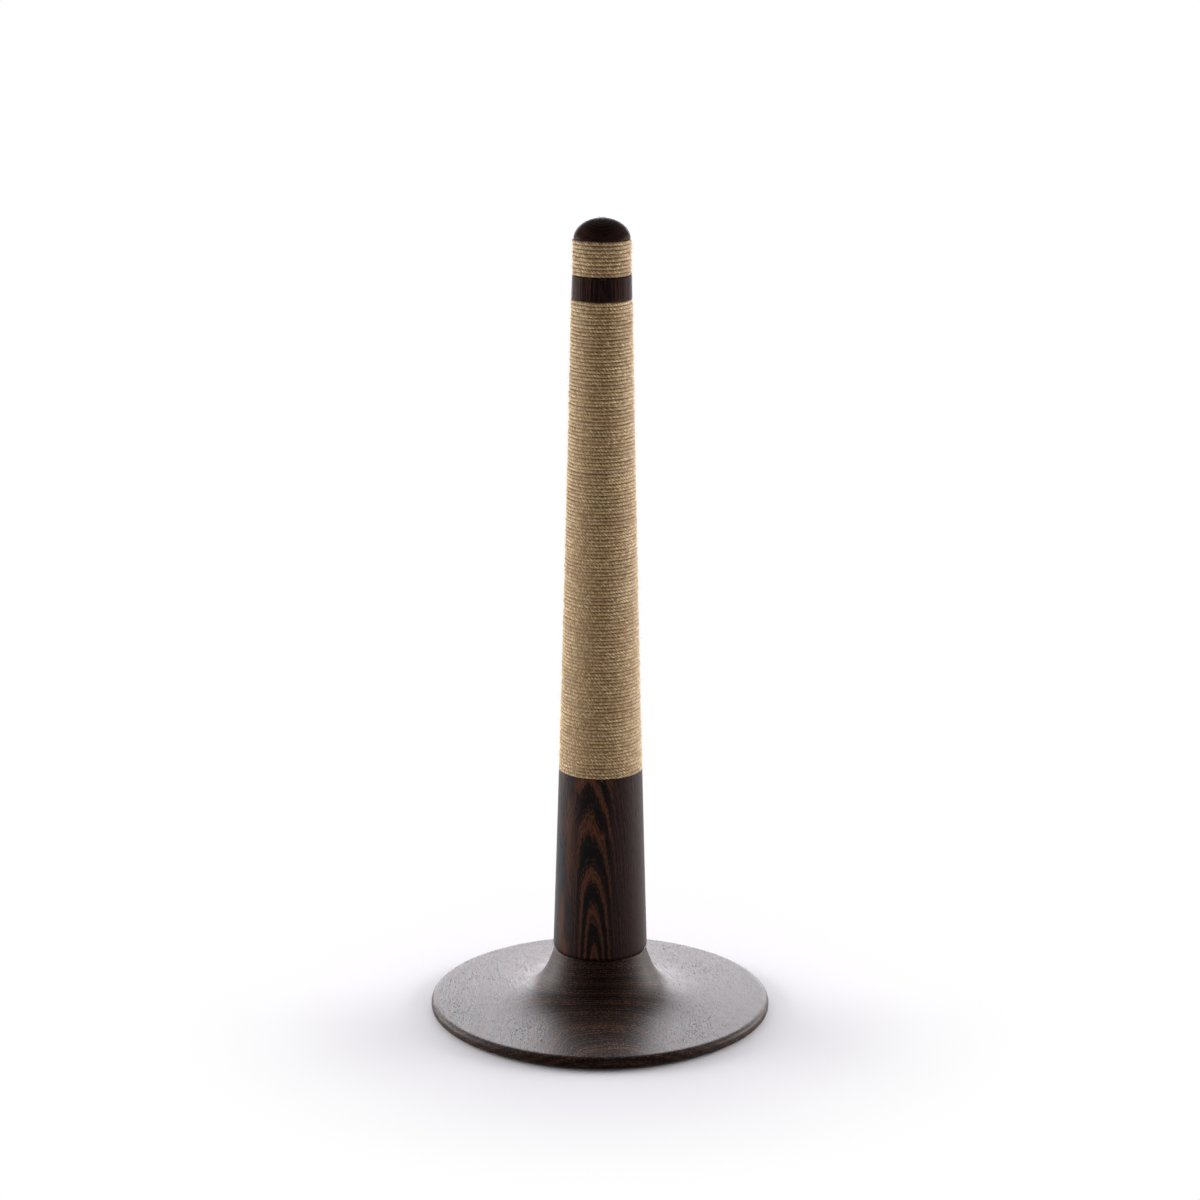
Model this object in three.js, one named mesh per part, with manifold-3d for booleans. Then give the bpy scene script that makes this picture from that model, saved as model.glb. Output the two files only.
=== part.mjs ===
// A free-standing cat scratching post: a turned wooden column, wound with sisal rope in two bands
// with a wooden ring between them, on a round base that flares up into a collar.
// Millimetres, +Z up. The origin is on the floor, under the middle of the base.
import * as THREE from 'three'
import { mergeVertices } from 'three/addons/utils/BufferGeometryUtils.js'
import Module from 'manifold-3d'

const wasm = await Module()
wasm.setup()

// ---- Fits ----
const seatGap = 0.1 // a glued or bolted face to the face that it seats on
const slideGap = 0.15 // all round a tenon, dowel, pin or bolt in its hole
const ropeGap = 0.3 // rope to the wood that it lies on or stops against

// ---- Base: a turned disc whose top sweeps up into a collar ----
const baseRadius = 190
const rimThickness = 12
const rimTopRound = 6
const rimBottomRound = 3.5
const discCrown = 2.6 // the disc is this much higher at the flare than at the rim
const collarHeight = 72 // floor to the face that the post stands on
const collarInset = 1 // the collar is this much slimmer than the post above it
const collarEdgeRound = 1.5
const flareReach = 15.5 // the flare's height falls to 1/e of itself over this distance outwards
const reliefRadius = 140 // the underside is hollowed a little inside this radius
const reliefDepth = 1.5

// ---- Felt pads under the base ----
const padCount = 6
const padRadius = 14
const padThickness = 3
const padRecessDepth = 1
const padInset = 30 // rim to the middle of a pad

// ---- Column: one slightly hollow taper runs through the post, the rope and the ring ----
const postFootRadius = 52.6
const postHeadRadius = 32.6
const taperHollow = 1.04 // the middle of the column is this much slimmer than a straight taper
const lowerPostLength = 209
const footRound = 4.6
const footTenonRadius = 20
const footTenonLength = 25
const headTenonRadius = 22
const headTenonLength = 44
const socketSpare = 1 // each blind hole is this much deeper than what it holds
const boltWeb = 20 // wood between the bolt's washer and the socket for the foot tenon

// ---- Ring, neck and cap ----
const ringHeight = 26
const ringEdgeRound = 1.2
const neckInset = 4.9 // the core's neck, inside the ring and the upper rope, is this much slimmer
const neckLap = 5 // how far the neck goes up into the cap
const capInset = 1.4 // the cap is this much slimmer than the ring's top
const capHeight = 22.9
const capEdgeInset = 0.6 // a small bevel round the cap's lower edge
const capEdgeAngle = 4 // degrees of the dome's quarter round that the bevel takes

// ---- Rope ----
const ropeDiameter = 4
const mainBandLength = 524
const mainRidgeDepth = 1.5 // from the crest of a turn down to the groove beside it
const upperBandLength = 38
const upperTurns = 9
const upperTurnGap = 0.2 // between two neighbouring turns, if the tube were round
const ropeBend = 3 // radius of the rope's middle where it turns into its hole
const ropeTailLength = 9 // straight end inside the core
const ropeTailCover = 2.4 // core left between the end of the main band and the hole for its rope

// ---- Fasteners ----
const boltRadius = 6
const boltLength = 75
const boltHeadAcross = 19 // flat to flat
const boltHeadHeight = 7.5
const washerRadius = 15
const washerThickness = 2.5
const springWasherRadius = 10.5
const springWasherThickness = 2.5
const springWasherSlit = 2
const boltRecessRadius = 19
const insertRadius = 9
const insertLength = 30
const dowelRadius = 4
const dowelLength = 30
const crossPinRadius = 4
const crossPinHeight = 22 // above the foot of the core
const crossPinInset = 1.5 // each end lies this much under the rope's seat
const endChamfer = 0.8
const capScrewRadius = 2.25
const capScrewLength = 36
const capScrewHeadRadius = 4.5
const capScrewHeadHeight = 2.8
const capScrewTip = 4.5
const capPlugRadius = 5
const capPlugDepth = 6
const capPlugRise = 0.2 // the plug's middle stands this much above its edge
const capPlugChamfer = 0.2

// ---- How finely round things are cut ----
const baseSteps = 60
const columnSteps = 36
const smallSteps = 20
const mainRopeSteps = 12 // in one turn of the main band
const upperRopeSteps = 20 // in one turn of the upper band
const ropeSides = 6
const flareSteps = 9
const domeSteps = 8
const roundSteps = 3 // on a large round edge
const edgeSteps = 2 // on a small one
const taperSteps = 4 // along the core, the post or the bore of the main band
const bendSteps = 4 // where the upper rope turns into the core
const cutOver = 1 // a cutter runs this far past the face that it opens

// ---- Heights that follow ----
const baseUnderside = padThickness - padRecessDepth
const rimTop = baseUnderside + rimThickness
const bandBottom = collarHeight + lowerPostLength
const bandTop = bandBottom + mainBandLength
const ringTop = bandTop + ringHeight
const capBottom = ringTop + upperBandLength
const capTop = capBottom + capHeight
const collarRadius = postFootRadius - collarInset
const neckRadius = postHeadRadius - neckInset
const capRadius = postHeadRadius - capInset
const dowelOffset = (footTenonRadius + postFootRadius - footRound) / 2
const footTenonEnd = collarHeight - footTenonLength
const footSocketFloor = footTenonEnd - socketSpare
const boltSeat = footSocketFloor - boltWeb
const washerBottom = boltSeat - seatGap - washerThickness
const springWasherBottom = washerBottom - seatGap - springWasherThickness
const boltHeadTop = springWasherBottom - seatGap
const headTenonEnd = bandBottom + headTenonLength
const capPlugBottom = capTop - capPlugDepth
const capScrewSeat = capPlugBottom - seatGap - capScrewHeadHeight - seatGap
const crossPinLevel = bandBottom + crossPinHeight

// ---- Materials ----
const wenge = new THREE.MeshStandardMaterial({ color: 0x35211b, roughness: 0.42, metalness: 0 })
const darkWenge = new THREE.MeshStandardMaterial({ color: 0x2b1a15, roughness: 0.4, metalness: 0 })
const coreWood = new THREE.MeshStandardMaterial({ color: 0xb98d5c, roughness: 0.75, metalness: 0 })
const beech = new THREE.MeshStandardMaterial({ color: 0xcfa878, roughness: 0.7, metalness: 0 })
const sisal = new THREE.MeshStandardMaterial({ color: 0xc9a77c, roughness: 0.95, metalness: 0 })
const felt = new THREE.MeshStandardMaterial({ color: 0x1d1a18, roughness: 1, metalness: 0 })
const steel = new THREE.MeshStandardMaterial({ color: 0x9b9c9d, roughness: 0.35, metalness: 1 })

const model = new THREE.Group()

function addPart(name, geometry, material, place = [0, 0, 0]) {
  const mesh = new THREE.Mesh(geometry, material)
  mesh.name = name
  mesh.position.set(...place)
  model.add(mesh)
  return mesh
}

// ---- Shapes ----

// Merges the shared corners, and drops the triangles that a pole on the axis leaves without area.
function closed(geometry) {
  geometry.deleteAttribute('normal')
  geometry.deleteAttribute('uv')
  const merged = mergeVertices(geometry, 1e-4)
  const corners = merged.index.array
  const kept = []
  for (let i = 0; i < corners.length; i += 3) {
    const [a, b, c] = corners.slice(i, i + 3)
    if (a !== b && b !== c && c !== a) kept.push(a, b, c)
  }
  merged.setIndex(kept)
  return merged
}

function solidOf(geometry) {
  const vertProperties = Float32Array.from(geometry.attributes.position.array)
  const triVerts = Uint32Array.from(geometry.index.array)
  return new wasm.Manifold(new wasm.Mesh({ numProp: 3, vertProperties, triVerts }))
}

function geometryOf(solid) {
  const mesh = solid.getMesh()
  const geometry = new THREE.BufferGeometry()
  geometry.setAttribute('position', new THREE.BufferAttribute(mesh.vertProperties, 3))
  geometry.setIndex(new THREE.BufferAttribute(mesh.triVerts, 1))
  return geometry
}

function cutFrom(geometry, cutters) {
  let solid = solidOf(geometry)
  for (const cutter of cutters) solid = solid.subtract(solidOf(cutter))
  return geometryOf(solid)
}

function joined(geometries) {
  let solid = solidOf(geometries[0])
  for (const geometry of geometries.slice(1)) solid = solid.add(solidOf(geometry))
  return geometryOf(solid)
}

// Turns an outline of [radius, height] pairs about Z. The outline starts and ends on the axis,
// or closes on itself, and has its material on the left as it goes along.
function turned(outline, steps) {
  const points = outline.map(([radius, height]) => new THREE.Vector2(radius, height))
  if (outline[0][0] > 0) points.push(points[0].clone())
  const geometry = new THREE.LatheGeometry(points, steps)
  geometry.rotateX(Math.PI / 2)
  return closed(geometry)
}

function rod(radius, bottom, top, steps = smallSteps) {
  return turned([[0, bottom], [radius, bottom], [radius, top], [0, top]], steps)
}

// A rod whose two ends are chamfered, as a dowel's are.
function chamferedRod(radius, length, steps = smallSteps) {
  const half = length / 2
  const slim = radius - endChamfer
  return turned([[0, -half], [slim, -half], [radius, -half + endChamfer],
    [radius, half - endChamfer], [slim, half], [0, half]], steps)
}

function washer(innerRadius, outerRadius, bottom, thickness) {
  const top = bottom + thickness
  return turned([[innerRadius, bottom], [outerRadius, bottom], [outerRadius, top], [innerRadius, top]],
    smallSteps)
}

// Points on a round edge of an outline, from one angle to another in degrees.
function arc(centreRadius, centreHeight, radius, from, to, steps) {
  return Array.from({ length: steps + 1 }, (_, i) => {
    const angle = THREE.MathUtils.degToRad(from + (to - from) * i / steps)
    return [centreRadius + radius * Math.cos(angle), centreHeight + radius * Math.sin(angle)]
  })
}

// The column's outside at a height: a straight taper, drawn in a little at its middle.
function columnRadius(height) {
  const t = (ringTop - height) / (ringTop - collarHeight)
  return postHeadRadius + (postFootRadius - postHeadRadius) * t - 4 * taperHollow * t * (1 - t)
}

// Points up the column's outside, or a set depth inside it.
function columnLine(bottom, top, depth, steps) {
  return Array.from({ length: steps + 1 }, (_, i) => {
    const height = bottom + (top - bottom) * i / steps
    return [columnRadius(height) - depth, height]
  })
}

// Lays a shape that stands on Z down, so that it points outwards from the axis towards +Y,
// which is the back of the post, at the given height.
function pointedBack(geometry, height) {
  geometry.rotateX(-Math.PI / 2)
  geometry.translate(0, 0, height)
  return geometry
}

// ---- Base ----

// The disc's top: a slight crown, and a flare that dies away outwards from the collar.
function flareHeight(radius) {
  const edge = baseRadius - rimTopRound
  const crown = discCrown * (edge - radius) / (edge - collarRadius)
  const flareRise = collarHeight - collarEdgeRound - rimTop - discCrown
  return rimTop + crown + flareRise * Math.exp(-(radius - collarRadius) / flareReach)
}

function trumpetBase() {
  const edge = baseRadius - rimTopRound
  const sweep = Array.from({ length: flareSteps }, (_, i) => {
    const share = 1 - (i + 1) / flareSteps
    const radius = collarRadius + (edge - collarRadius) * share ** 2
    return [radius, flareHeight(radius)]
  })
  const socketRadius = footTenonRadius + slideGap
  const boltHole = boltRadius + slideGap
  const round = collarEdgeRound
  const collarEdge = arc(collarRadius - round, collarHeight - round, round, 0, 90, edgeSteps)
  const disc = turned([
    [boltHole, boltSeat],
    [boltRecessRadius, boltSeat],
    [boltRecessRadius, baseUnderside + reliefDepth],
    [reliefRadius - reliefDepth, baseUnderside + reliefDepth],
    [reliefRadius, baseUnderside],
    ...arc(baseRadius - rimBottomRound, baseUnderside + rimBottomRound, rimBottomRound, -90, 0, edgeSteps),
    ...arc(edge, rimTop - rimTopRound, rimTopRound, 0, 90, roundSteps),
    ...sweep,
    ...collarEdge.slice(1),
    [socketRadius, collarHeight],
    [socketRadius, footSocketFloor],
    [boltHole, footSocketFloor],
  ], baseSteps)
  const recesses = padPlaces().map(([x, y]) => {
    const recess = rod(padRadius + slideGap, baseUnderside - cutOver, padThickness + seatGap)
    return recess.translate(x, y, 0)
  })
  const dowelHoles = dowelPlaces().map((x) => dowelHole().translate(x, 0, collarHeight))
  return cutFrom(disc, [...recesses, ...dowelHoles])
}

function padPlaces() {
  const reach = baseRadius - padInset
  return Array.from({ length: padCount }, (_, i) => {
    const angle = 2 * Math.PI * (i + 0.5) / padCount
    return [reach * Math.cos(angle), reach * Math.sin(angle)]
  })
}

function dowelPlaces() {
  return [-dowelOffset, dowelOffset]
}

// A hole that reaches as far below the joint as above it.
function dowelHole() {
  const half = dowelLength / 2 + socketSpare
  return rod(dowelRadius + slideGap, -half, half)
}

// ---- Column ----

function lowerPost() {
  const bottom = collarHeight + seatGap
  const footRadius = columnRadius(bottom + footRound)
  const insertTop = footTenonEnd + insertLength + seatGap
  const boltEnd = boltHeadTop + boltLength + socketSpare
  const post = turned([
    [0, boltEnd],
    [boltRadius + slideGap, boltEnd],
    [boltRadius + slideGap, insertTop],
    [insertRadius + slideGap, insertTop],
    [insertRadius + slideGap, footTenonEnd],
    [footTenonRadius, footTenonEnd],
    [footTenonRadius, bottom],
    ...arc(footRadius - footRound, bottom + footRound, footRound, -90, 0, roundSteps),
    ...columnLine(bottom + footRound, bandBottom, 0, taperSteps).slice(1),
    [headTenonRadius, bandBottom],
    [headTenonRadius, headTenonEnd - endChamfer],
    [headTenonRadius - endChamfer, headTenonEnd],
    [0, headTenonEnd],
  ], columnSteps)
  const dowelHoles = dowelPlaces().map((x) => dowelHole().translate(x, 0, collarHeight))
  return cutFrom(post, [...dowelHoles, crossPinHole()])
}

function crossPinHole() {
  const reach = columnRadius(crossPinLevel)
  const hole = rod(crossPinRadius + slideGap, -reach, reach)
  return hole.rotateY(Math.PI / 2).translate(0, 0, crossPinLevel)
}

function windingCore() {
  const socketTop = headTenonEnd + socketSpare
  const socketRadius = headTenonRadius + slideGap
  const neckTop = capBottom + neckLap
  const screwEnd = capScrewSeat + seatGap - capScrewLength - socketSpare
  const core = turned([
    [0, socketTop],
    [socketRadius, socketTop],
    [socketRadius, bandBottom + seatGap],
    ...columnLine(bandBottom + seatGap, bandTop, ropeDiameter, taperSteps),
    [neckRadius, bandTop],
    [neckRadius, neckTop],
    [capScrewRadius + slideGap, neckTop],
    [capScrewRadius + slideGap, screwEnd],
    [0, screwEnd],
  ], columnSteps)
  return cutFrom(core, [
    crossPinHole(),
    ...mainTailHeights.map(mainTailHole),
    upperTailHole(upperRope.bottom),
    upperTailHole(upperRope.top),
  ])
}

function ringCollar() {
  const bottom = bandTop + seatGap
  const bore = neckRadius + slideGap
  const lower = columnRadius(bottom)
  const upper = columnRadius(ringTop)
  const round = ringEdgeRound
  return turned([
    [bore, bottom],
    ...arc(lower - round, bottom + round, round, -90, 0, edgeSteps),
    ...arc(upper - round, ringTop - round, round, 0, 90, edgeSteps),
    [bore, ringTop],
  ], columnSteps)
}

// A low dome whose skirt laps over the neck. Its crown is bored for the screw and the plug.
function domeCap() {
  const bottom = capBottom + seatGap
  const ceiling = capBottom + neckLap + seatGap
  const bore = neckRadius + slideGap
  const plugBore = capPlugRadius + slideGap
  const crownAngle = THREE.MathUtils.radToDeg(Math.acos(plugBore / capRadius))
  const dome = arc(0, 0, 1, capEdgeAngle, crownAngle, domeSteps)
    .map(([across, up]) => [across * capRadius, capBottom + up * capHeight])
  return turned([
    [capScrewRadius + slideGap, ceiling],
    [bore, ceiling],
    [bore, bottom],
    [capRadius - capEdgeInset, bottom],
    ...dome,
    [plugBore, capScrewSeat],
    [capScrewRadius + slideGap, capScrewSeat],
  ], columnSteps)
}

// ---- Rope ----

// The rope's straight ends are as thick as the tube of the upper band.
const tailRadius = (ropeDiameter - upperTurnGap) / 2
const tailHoleRadius = tailRadius + ropeGap
const mainTailHeights = [
  bandBottom + ropeTailCover + tailHoleRadius,
  bandTop - ropeTailCover - tailHoleRadius,
]

// The main band. Its turns are one unbroken ridge that climbs the core as a thread does, with a
// groove between neighbouring turns, over a plain bore. Both of its ends are flat, where they meet
// the post and the ring, and a straight rope end goes from each into the core.
function mainWinding() {
  const kept = rod(2 * postFootRadius, bandBottom + ropeGap, bandTop - ropeGap, mainRopeSteps)
  let winding = solidOf(ridgedSleeve()).intersect(solidOf(kept))
  for (const height of mainTailHeights) winding = winding.add(solidOf(mainTail(height)))
  return geometryOf(winding)
}

// The turns before their two ends are cut flat, with one turn to spare at each end.
function ridgedSleeve() {
  const turns = Math.round(mainBandLength / ropeDiameter)
  const pitch = mainBandLength / turns
  const steps = mainRopeSteps
  const bottom = bandBottom - pitch
  const samples = (turns + 2) * steps
  const places = []
  const faces = []
  const put = (radius, step, height) => {
    const angle = 2 * Math.PI * step / steps
    places.push(radius * Math.cos(angle), radius * Math.sin(angle), height)
    return places.length / 3 - 1
  }
  const quad = (a, b, c, d) => faces.push(a, b, c, a, c, d)

  // A groove climbs half a turn's height under the crest, and once more round than it does.
  const groove = []
  const crest = []
  for (let i = 0; i <= samples + steps; i++) {
    const height = bottom + pitch * (i / steps - 1 / 2)
    groove.push(put(columnRadius(height) - mainRidgeDepth, i, height))
    if (i > samples) continue
    const crestHeight = height + pitch / 2
    crest.push(put(columnRadius(crestHeight), i, crestHeight))
  }
  for (let i = 0; i < samples; i++) {
    quad(groove[i], groove[i + 1], crest[i + 1], crest[i])
    quad(crest[i], crest[i + 1], groove[i + steps + 1], groove[i + steps])
  }

  const rings = Array.from({ length: taperSteps + 1 }, (_, k) => {
    const height = bottom + pitch * (turns + 2) * k / taperSteps
    return Array.from({ length: steps }, (_, i) => put(boreRadius(height), i, height))
  })
  const first = rings[0]
  const last = rings[taperSteps]
  for (let i = 0; i < steps; i++) {
    const next = (i + 1) % steps
    for (let k = 0; k < taperSteps; k++) {
      quad(rings[k][next], rings[k][i], rings[k + 1][i], rings[k + 1][next])
    }
    quad(groove[i + 1], groove[i], first[i], first[next])
    quad(groove[samples + i], groove[samples + i + 1], last[next], last[i])
  }
  // The step where the first turn begins, and the one where the last turn ends.
  quad(groove[steps], first[0], groove[0], crest[0])
  quad(last[0], groove[samples + steps], crest[samples], groove[samples])

  const geometry = new THREE.BufferGeometry()
  geometry.setAttribute('position', new THREE.BufferAttribute(new Float32Array(places), 3))
  geometry.setIndex(faces)
  return geometry
}

// The bore's flats clear the round core by the rope's gap.
function boreRadius(height) {
  return (columnRadius(height) - ropeDiameter + ropeGap) / Math.cos(Math.PI / mainRopeSteps)
}

function mainTail(height) {
  const inner = columnRadius(height) - ropeDiameter - ropeTailLength
  const outer = boreRadius(height) + slideGap
  return pointedBack(rod(tailRadius, inner, outer, ropeSides), height)
}

function mainTailHole(height) {
  const seat = columnRadius(height) - ropeDiameter
  const hole = rod(tailHoleRadius, seat - ropeTailLength - socketSpare, seat + cutOver)
  return pointedBack(hole, height)
}

// The upper band: whole turns of one tube, whose two ends bend inwards and run straight into the core.
const upperRope = (() => {
  const bottomStop = ringTop + ropeGap
  const topStop = capBottom - ropeGap
  const pitch = (topStop - bottomStop + upperTurnGap) / (upperTurns + 1)
  const radius = (pitch - upperTurnGap) / 2
  const bottom = bottomStop + radius
  const top = topStop - radius
  const coilRadius = (neckRadius + ropeGap + radius) / Math.cos(Math.PI / upperRopeSteps)
  return { pitch, radius, bottom, top, coilRadius }
})()

function upperRopePath() {
  const { bottom, top, coilRadius } = upperRope
  const back = Math.PI / 2
  const lead = Math.asin(ropeBend / (coilRadius - ropeBend))
  const at = (radius, angle, height) =>
    new THREE.Vector3(radius * Math.cos(angle), radius * Math.sin(angle), height)

  // One end, written for the top: round the bend and straight on towards the axis. The bend's
  // circle touches the coil on its inside, and the straight end's line through the axis.
  const centreReach = coilRadius - ropeBend
  const end = (height, way) => {
    const points = []
    for (let i = 1; i <= bendSteps; i++) {
      const turn = (Math.PI / 2 + lead) * i / bendSteps
      const along = centreReach * Math.cos(lead) + ropeBend * Math.cos(turn - lead)
      const aside = -centreReach * Math.sin(lead) + ropeBend * Math.sin(turn - lead)
      points.push(new THREE.Vector3(-way * aside, along, height))
    }
    const straightFrom = centreReach * Math.cos(lead)
    points.push(at(straightFrom - ropeTailLength, back, height))
    return points
  }
  const count = upperTurns * upperRopeSteps
  const coil = Array.from({ length: count + 1 }, (_, i) => {
    const share = i / count
    const angle = back + lead + share * (2 * Math.PI * upperTurns - 2 * lead)
    return at(coilRadius, angle, bottom + (top - bottom) * share)
  })
  return [...end(bottom, -1).reverse(), ...coil, ...end(top, 1)]
}

// A tube along a path that nowhere runs straight up. Each ring stands on its own side and up lines.
function tubeAlong(path, radius) {
  const places = []
  const faces = []
  const up = new THREE.Vector3(0, 0, 1)
  path.forEach((point, i) => {
    const before = path[Math.max(i - 1, 0)]
    const after = path[Math.min(i + 1, path.length - 1)]
    const ahead = after.clone().sub(before).normalize()
    const side = ahead.clone().cross(up).normalize()
    const lift = side.clone().cross(ahead)
    for (let k = 0; k < ropeSides; k++) {
      const angle = 2 * Math.PI * k / ropeSides
      const place = point.clone().addScaledVector(side, radius * Math.cos(angle))
      place.addScaledVector(lift, radius * Math.sin(angle))
      places.push(place.x, place.y, place.z)
    }
  })
  const ringCount = path.length
  for (let i = 0; i < ringCount - 1; i++) {
    for (let k = 0; k < ropeSides; k++) {
      const next = (k + 1) % ropeSides
      const [a, b] = [i * ropeSides + k, i * ropeSides + next]
      faces.push(a, b + ropeSides, b, a, a + ropeSides, b + ropeSides)
    }
  }
  const end = (ringCount - 1) * ropeSides
  for (let k = 1; k < ropeSides - 1; k++) {
    faces.push(0, k, k + 1)
    faces.push(end, end + k + 1, end + k)
  }
  const geometry = new THREE.BufferGeometry()
  geometry.setAttribute('position', new THREE.BufferAttribute(new Float32Array(places), 3))
  geometry.setIndex(faces)
  return geometry
}

// The least distance between corners of the tube that are over half a turn apart along it.
function leastGap(geometry) {
  const place = geometry.attributes.position
  const apart = ropeSides * upperRopeSteps / 2
  let least = Infinity
  for (let i = 0; i < place.count; i++) {
    for (let k = i + apart; k < place.count; k++) {
      const distance = Math.hypot(place.getX(i) - place.getX(k), place.getY(i) - place.getY(k),
        place.getZ(i) - place.getZ(k))
      least = Math.min(least, distance)
    }
  }
  return least
}

// A hole for one end of the upper rope, with a mouth that is wide enough for the bend.
function upperTailHole(height) {
  const { radius, coilRadius } = upperRope
  const holeRadius = radius + ropeGap
  const depth = coilRadius - ropeBend - ropeTailLength - socketSpare
  const mouth = neckRadius + cutOver
  const hole = turned([
    [0, depth],
    [holeRadius, depth],
    [holeRadius, mouth - ropeBend - radius],
    [holeRadius + ropeBend, mouth],
    [0, mouth],
  ], smallSteps)
  return pointedBack(hole, height)
}

// ---- Fasteners ----

function baseBolt() {
  const headRadius = boltHeadAcross / 2 / Math.cos(Math.PI / 6)
  const hexagonSides = 6
  const head = rod(headRadius, boltHeadTop - boltHeadHeight, boltHeadTop, hexagonSides)
  const shank = rod(boltRadius, boltHeadTop - boltHeadHeight / 2, boltHeadTop + boltLength)
  return joined([head, shank])
}

// A ring that is sawn through on one side.
function springWasher() {
  const bore = boltRadius + slideGap
  const ring = washer(bore, springWasherRadius, springWasherBottom, springWasherThickness)
  const slit = new THREE.BoxGeometry(springWasherRadius, springWasherSlit, 3 * springWasherThickness)
  slit.translate(springWasherRadius, 0, springWasherBottom)
  return cutFrom(ring, [closed(slit)])
}

function capScrew() {
  const seat = capScrewSeat + seatGap
  return turned([
    [0, seat - capScrewLength],
    [capScrewRadius, seat - capScrewLength + capScrewTip],
    [capScrewRadius, seat],
    [capScrewHeadRadius, seat],
    [capScrewHeadRadius, seat + capScrewHeadHeight],
    [0, seat + capScrewHeadHeight],
  ], smallSteps)
}

function capPlug() {
  const bottom = capPlugBottom + seatGap
  return turned([
    [0, bottom],
    [capPlugRadius, bottom],
    [capPlugRadius, capTop - capPlugRise - capPlugChamfer],
    [capPlugRadius - capPlugChamfer, capTop - capPlugRise],
    [0, capTop],
  ], smallSteps)
}

// ---- The assembly, from the floor up ----

padPlaces().forEach(([x, y], i) => {
  addPart(`foot_pad_${i + 1}`, rod(padRadius, 0, padThickness), felt, [x, y, 0])
})
addPart('trumpet_base', trumpetBase(), wenge)
addPart('bolt_washer', washer(boltRadius + slideGap, washerRadius, washerBottom, washerThickness), steel)
addPart('spring_washer', springWasher(), steel)
addPart('base_bolt', baseBolt(), steel)
addPart('post_insert', washer(boltRadius + slideGap, insertRadius, footTenonEnd, insertLength), steel)
dowelPlaces().forEach((x, i) => {
  addPart(`locating_dowel_${i + 1}`, chamferedRod(dowelRadius, dowelLength), beech, [x, 0, collarHeight])
})
addPart('lower_post', lowerPost(), wenge)
addPart('winding_core', windingCore(), coreWood)
const crossPinLength = 2 * (columnRadius(crossPinLevel) - ropeDiameter - crossPinInset)
const crossPin = addPart('core_cross_pin', chamferedRod(crossPinRadius, crossPinLength), beech,
  [0, 0, crossPinLevel])
crossPin.rotation.y = Math.PI / 2
addPart('main_winding', mainWinding(), sisal)
addPart('ring_collar', ringCollar(), darkWenge)
const upperWinding = tubeAlong(upperRopePath(), upperRope.radius)
addPart('upper_winding', upperWinding, sisal)
addPart('dome_cap', domeCap(), wenge)
addPart('cap_screw', capScrew(), steel)
addPart('cap_plug', capPlug(), darkWenge)

console.log(`upper rope, least gap between its turns: ${leastGap(upperWinding).toFixed(2)} mm`)

export default model
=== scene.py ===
import math
import bpy
import numpy as np
from mathutils import Euler, Matrix, Vector


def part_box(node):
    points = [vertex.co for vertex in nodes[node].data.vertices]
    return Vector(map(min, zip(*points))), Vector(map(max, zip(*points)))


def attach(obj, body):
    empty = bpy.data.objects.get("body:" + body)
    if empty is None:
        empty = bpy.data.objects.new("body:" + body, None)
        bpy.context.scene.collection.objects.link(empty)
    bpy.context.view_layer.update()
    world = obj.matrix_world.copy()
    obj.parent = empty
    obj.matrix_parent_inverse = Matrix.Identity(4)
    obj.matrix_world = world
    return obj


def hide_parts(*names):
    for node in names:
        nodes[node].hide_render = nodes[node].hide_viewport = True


# A turned scratching post on a flared base, wound with sisal rope. Metres, +Z up, the front is -Y.
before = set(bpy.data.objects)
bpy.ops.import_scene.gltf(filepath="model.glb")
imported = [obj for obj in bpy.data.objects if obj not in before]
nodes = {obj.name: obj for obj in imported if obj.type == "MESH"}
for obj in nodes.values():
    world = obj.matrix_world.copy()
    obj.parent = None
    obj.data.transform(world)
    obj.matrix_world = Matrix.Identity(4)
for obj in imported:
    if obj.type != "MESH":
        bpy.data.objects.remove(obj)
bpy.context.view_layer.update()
print("frame:", len(nodes), "nodes")


# the camera stands where the photograph was taken from
camera = {
    "place": (0.0, -3.3401, 1.3180),
    "down": 14.2028,  # degrees below level
    "roll": 0.157,  # degrees, so that the post leans a hair to the right
    "lens": 94.5,
    "sensor": 36.0,
    "shift": -1.077 / 1200,  # pixels over the photograph's width
}


def addCamera():
    data = bpy.data.cameras.new("productCamera")
    data.lens, data.sensor_width, data.shift_x = camera["lens"], camera["sensor"], camera["shift"]
    data.clip_start, data.clip_end = 0.05, 100.0
    tilt = Euler((math.radians(90 - camera["down"]), 0, 0)).to_matrix()
    roll = Matrix.Rotation(math.radians(camera["roll"]), 3, "Z")
    seen = bpy.data.objects.new("productCamera", data)
    seen.location = camera["place"]
    seen.rotation_euler = (tilt @ roll).to_euler()
    bpy.context.scene.collection.objects.link(seen)
    bpy.context.scene.camera = seen


addCamera()
print("camera set")


def shade(red, green, blue):
    # a colour picked from a screen, 0 to 255, as linear light
    parts = [part / 255 for part in (red, green, blue)]
    parts = [part / 12.92 if part <= 0.04045 else ((part + 0.055) / 1.055) ** 2.4 for part in parts]
    return (*parts, 1.0)


class Wire:
    # one output socket: sums, products and powers of wires add Math nodes
    def __init__(self, paint, socket):
        self.paint, self.socket = paint, socket

    def math(self, operation, first, second=0.0):
        return self.paint.add("ShaderNodeMath", {"operation": operation}, {0: first, 1: second})

    def __add__(self, other):
        return self.math("ADD", self, other)

    def __sub__(self, other):
        return self.math("SUBTRACT", self, other)

    def __rsub__(self, other):
        return self.math("SUBTRACT", other, self)

    def __mul__(self, other):
        return self.math("MULTIPLY", self, other)

    def __pow__(self, other):
        return self.math("POWER", self, other)

    __radd__ = __add__
    __rmul__ = __mul__


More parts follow.
